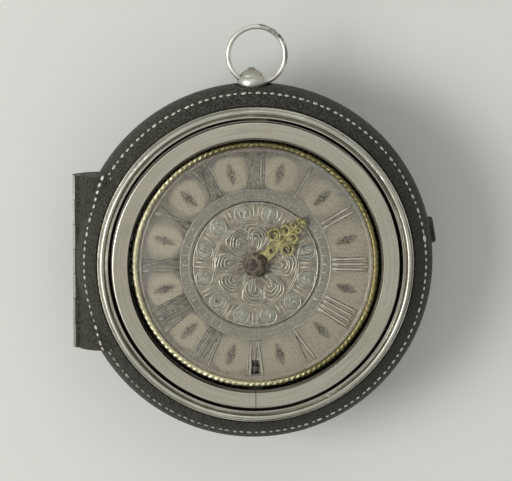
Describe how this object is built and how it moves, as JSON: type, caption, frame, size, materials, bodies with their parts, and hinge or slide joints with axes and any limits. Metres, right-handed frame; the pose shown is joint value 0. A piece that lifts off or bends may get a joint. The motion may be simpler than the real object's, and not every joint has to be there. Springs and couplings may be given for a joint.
{
  "type": "alarm watch",
  "caption": "Pair-cased verge alarm watch with one hand, pinned leather outer case, champleve dial, alarm disc and a bow at the top.",
  "frame": {"origin": "centre of the small flat that the domed back rests on", "axes": "+Z out of the dial, +Y towards twelve o'clock and the bow, +X towards three o'clock"},
  "size_m": [0.0693, 0.0791, 0.0324],
  "materials": {
    "leather": "worn satin",
    "silver": "satin silver",
    "case_metal": "satin",
    "gilt_brass": "gilt",
    "bell_metal": "turned",
    "boss_metal": "browned",
    "steel": "polished",
    "glass": "polished"
  },
  "bodies": {
    "watch": {"outer_case_leather": "leather", "outer_case_shell": "case_metal", "case_hinge_block": "leather", "case_hinge_pin": "steel", "catch_spring": "steel", "inner_case_body": "silver", "pendant": "silver", "bell": "bell_metal", "bell_screw": "steel", "dial_plate": "silver", "rope_ring": "gilt_brass", "pillar_plate": "gilt_brass", "top_plate": "gilt_brass", "movement_pillars": "gilt_brass", "fusee_chain": "steel", "balance_cock": "gilt_brass", "cock_screw": "steel", "potence": "gilt_brass", "counter_potence": "gilt_brass"},
    "outer_bezel": {"outer_bezel_leather": "leather", "outer_bezel_ring": "case_metal", "outer_bezel_moulding": "silver", "bezel_hinge_block": "leather", "bezel_catch": "steel"},
    "push_button": {"push_button": "silver"},
    "bow": {"bow": "silver"},
    "glass_bezel": {"glass_bezel": "silver", "watch_glass": "glass"},
    "hour_wheel": {"hour_wheel": "gilt_brass"},
    "hour_hand": {"hour_hand": "gilt_brass", "centre_boss": "boss_metal"},
    "alarm_disc": {"alarm_disc": "silver"},
    "movement_latch": {"movement_latch": "steel"},
    "great_wheel": {"great_wheel": "gilt_brass"},
    "mainspring_barrel": {"mainspring_barrel": "gilt_brass"},
    "second_wheel": {"second_wheel": "gilt_brass"},
    "contrate_wheel": {"contrate_wheel": "gilt_brass"},
    "crown_wheel": {"crown_wheel": "gilt_brass"},
    "balance": {"balance": "steel"},
    "alarm_barrel": {"alarm_barrel": "gilt_brass"},
    "strike_wheel": {"strike_wheel": "gilt_brass"},
    "alarm_hammer": {"alarm_hammer": "steel"}
  },
  "joints": [
    {"name": "outer_bezel_hinge", "type": "hinge", "parent": "watch", "child": "outer_bezel", "pos_m": [-0.0334, 0, 0.0195], "axis": [0, -1, 0], "range_deg": [0, 95]},
    {"name": "push_button_slide", "type": "slide", "parent": "watch", "child": "push_button", "axis": [-0.9869, -0.1616, 0], "range_m": [0, 0.0005], "stiffness_N_per_m": 2000, "springref_m": -0.0002},
    {"name": "bow_swing", "type": "hinge", "parent": "watch", "child": "bow", "pos_m": [-0.00055, 0.0346, 0.0195], "axis": [1, 0, 0], "range_deg": [-90, 90]},
    {"name": "glass_bezel_lift", "type": "slide", "parent": "watch", "child": "glass_bezel", "axis": [0, 0, 1], "range_m": [0, 0.012]},
    {"name": "second_wheel_turn", "type": "hinge", "parent": "watch", "child": "second_wheel", "pos_m": [-0.01203, 0.00319, 0.015], "axis": [0, 0, 1], "continuous": true},
    {"name": "great_wheel_turn", "type": "hinge", "parent": "watch", "child": "great_wheel", "pos_m": [-0.0105, -0.0055, 0.015], "axis": [0, 0, 1], "continuous": true},
    {"name": "hour_wheel_turn", "type": "hinge", "parent": "watch", "child": "hour_wheel", "pos_m": [0, 0, 0.015], "axis": [0, 0, 1], "continuous": true},
    {"name": "mainspring_barrel_turn", "type": "hinge", "parent": "watch", "child": "mainspring_barrel", "pos_m": [0.008, -0.0105, 0.015], "axis": [0, 0, 1], "continuous": true},
    {"name": "contrate_wheel_turn", "type": "hinge", "parent": "watch", "child": "contrate_wheel", "pos_m": [-0.00671, 0.00691, 0.015], "axis": [0, 0, 1], "continuous": true},
    {"name": "crown_wheel_turn", "type": "hinge", "parent": "watch", "child": "crown_wheel", "pos_m": [0, 0.00691, 0.0169], "axis": [1, 0, 0], "continuous": true},
    {"name": "balance_swing", "type": "hinge", "parent": "watch", "child": "balance", "pos_m": [0.00259, 0.00691, 0.015], "axis": [0, 0, 1], "range_deg": [-50, 50]},
    {"name": "hour_hand_set", "type": "hinge", "parent": "hour_wheel", "child": "hour_hand", "pos_m": [0, 0, 0.0264], "axis": [0, 0, 1], "continuous": true},
    {"name": "alarm_disc_set", "type": "hinge", "parent": "hour_wheel", "child": "alarm_disc", "pos_m": [0, 0, 0.0253], "axis": [0, 0, 1], "continuous": true},
    {"name": "movement_latch_slide", "type": "slide", "parent": "watch", "child": "movement_latch", "axis": [0, 1, 0], "range_m": [0, 0.001], "stiffness_N_per_m": 400, "springref_m": -0.0002},
    {"name": "alarm_barrel_turn", "type": "hinge", "parent": "watch", "child": "alarm_barrel", "pos_m": [0.0115, 0.0095, 0.015], "axis": [0, 0, 1], "continuous": true},
    {"name": "strike_wheel_turn", "type": "hinge", "parent": "watch", "child": "strike_wheel", "pos_m": [0.0145, 0.0043, 0.015], "axis": [0, 0, 1], "continuous": true},
    {"name": "alarm_hammer_swing", "type": "hinge", "parent": "watch", "child": "alarm_hammer", "pos_m": [0.0173, -0.005, 0.012], "axis": [0, 0, 1], "range_deg": [-2.5, 12]}
  ],
  "couplings": [
    {"joint": "great_wheel_turn", "follows": "second_wheel_turn", "ratio": -0.16667},
    {"joint": "hour_wheel_turn", "follows": "second_wheel_turn", "ratio": 0.055556},
    {"joint": "mainspring_barrel_turn", "follows": "second_wheel_turn", "ratio": -0.1},
    {"joint": "contrate_wheel_turn", "follows": "second_wheel_turn", "ratio": -5.5},
    {"joint": "crown_wheel_turn", "follows": "second_wheel_turn", "ratio": 33},
    {"joint": "strike_wheel_turn", "follows": "alarm_barrel_turn", "ratio": -5}
  ]
}
